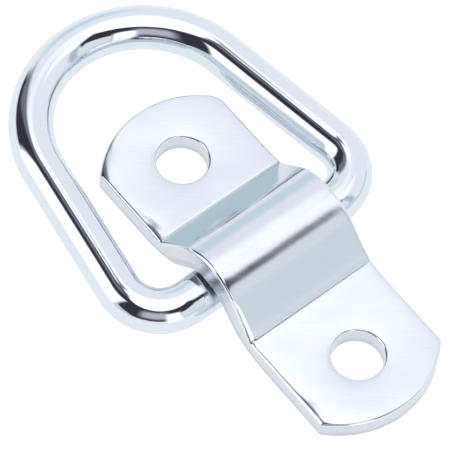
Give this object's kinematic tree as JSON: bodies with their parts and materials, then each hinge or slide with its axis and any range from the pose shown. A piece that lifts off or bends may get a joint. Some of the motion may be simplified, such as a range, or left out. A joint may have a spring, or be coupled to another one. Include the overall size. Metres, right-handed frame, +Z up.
{
  "type": "bolt on d ring tie down",
  "caption": "Low strap with a raised saddle between two bolt flanges; a D shaped ring of round bar turns in the tunnel under the saddle.",
  "frame": {"origin": "midway between the centres of the two bolt holes, on the face that sits on the deck", "axes": "+X along the strap, away from the flange that the ring lies round at rest; +Y along the ring's hinge bar; +Z up, away from the deck"},
  "size_m": [0.0743, 0.0447, 0.0108],
  "materials": {
    "bracket_zinc": "bright zinc plate, satin",
    "ring_zinc": "bright zinc plate, near mirror"
  },
  "bodies": {
    "bracket": {"bracket": "bracket_zinc"},
    "d_ring": {"d_ring": "ring_zinc"}
  },
  "joints": [
    {"name": "ring_swing", "type": "hinge", "parent": "bracket", "child": "d_ring", "pos_m": [-0.00115, -0.00045, 0.00317], "axis": [0, 1, 0], "range_deg": [0, 180]}
  ]
}
